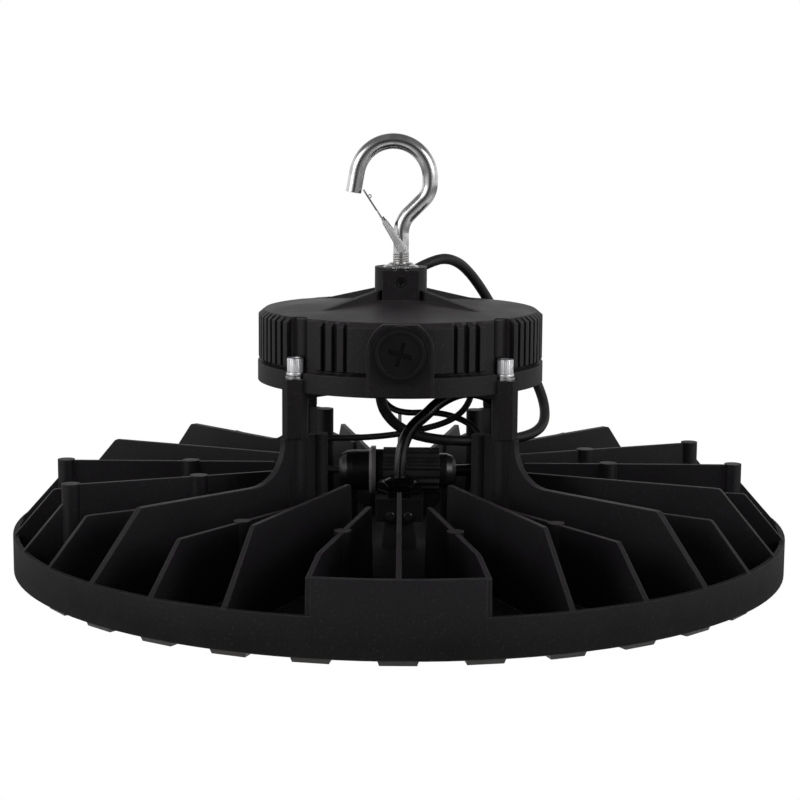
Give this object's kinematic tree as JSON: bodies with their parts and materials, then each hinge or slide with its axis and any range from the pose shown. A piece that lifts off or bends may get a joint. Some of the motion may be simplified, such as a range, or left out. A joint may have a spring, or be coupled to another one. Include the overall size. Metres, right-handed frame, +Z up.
{
  "type": "high bay light",
  "caption": "Round finned high bay light with a raised driver housing on four posts, a lens ring underneath, an in-line connector and a snap hook on top.",
  "frame": {"origin": "on the central axis, at the level of the undersides of the lens blocks", "axes": "+Z up along the central axis, from the lens towards the hook; +X to the right and +Y to the back as seen from the side with the knock-out plug, which faces -Y; the hook's eye opens towards -X"},
  "size_m": [0.4, 0.4, 0.2249],
  "materials": {
    "black_cast": "satin black powder coat on die-cast aluminium",
    "driver_black": "satin black powder coat",
    "smoky_lens": "smoky, slightly rough plastic",
    "silicone": "matte silicone rubber",
    "led_board": "white solder mask on aluminium",
    "led_chip": "yellow phosphor",
    "zinc": "bright zinc plate",
    "black_steel": "black oxide",
    "spring_steel": "bare spring steel",
    "circuit_board": "green circuit board",
    "potting_black": "matte black plastic",
    "black_nylon": "moulded black nylon",
    "coupling_nylon": "moulded black nylon",
    "seal_rubber": "matte black rubber",
    "cord_rubber": "satin black rubber sheath",
    "core_insulation": "bare copper strands"
  },
  "bodies": {
    "fixture": {"heat_sink": "black_cast", "lens_plate": "smoky_lens", "lens_gasket": "silicone", "led_board": "led_board", "led_chips": "led_chip", "lens_screws": "zinc", "driver_housing": "driver_black", "driver_base": "driver_black", "driver_gasket": "silicone", "driver_board": "circuit_board", "driver_transformer": "potting_black", "driver_capacitors": "potting_black", "hook": "zinc", "hook_nut": "zinc", "boss_set_screw": "black_steel", "gate_pin": "zinc", "leg_screws": "zinc", "flat_washers": "zinc", "spring_washers": "zinc", "knockout_plug": "black_nylon", "plug_seal": "seal_rubber", "gland_cap": "black_cast", "cap_screws": "black_steel", "connector_socket": "black_nylon", "connector_plug": "black_nylon", "coupling_ring": "coupling_nylon", "connector_seal": "seal_rubber", "engine_cord": "cord_rubber", "output_cord": "cord_rubber", "dimming_cord": "cord_rubber", "dimming_cap": "seal_rubber", "mains_cord": "cord_rubber", "mains_cores": "core_insulation", "centre_gland_body": "black_nylon", "centre_gland_nut": "black_nylon", "centre_gland_seal": "seal_rubber", "mains_gland_body": "black_nylon", "mains_gland_nut": "black_nylon", "mains_gland_seal": "seal_rubber", "output_gland_body": "black_nylon", "output_gland_nut": "black_nylon", "output_gland_seal": "seal_rubber", "dimming_gland_body": "black_nylon", "dimming_gland_nut": "black_nylon", "dimming_gland_seal": "seal_rubber"},
    "gate": {"hook_gate": "zinc", "gate_spring": "spring_steel"}
  },
  "joints": [
    {"name": "gate_hinge", "type": "hinge", "parent": "fixture", "child": "gate", "pos_m": [0, 0, 0.1661], "axis": [0, 1, 0], "range_deg": [0, 22], "stiffness_Nm_per_rad": 0.02, "springref_deg": -28.65}
  ]
}
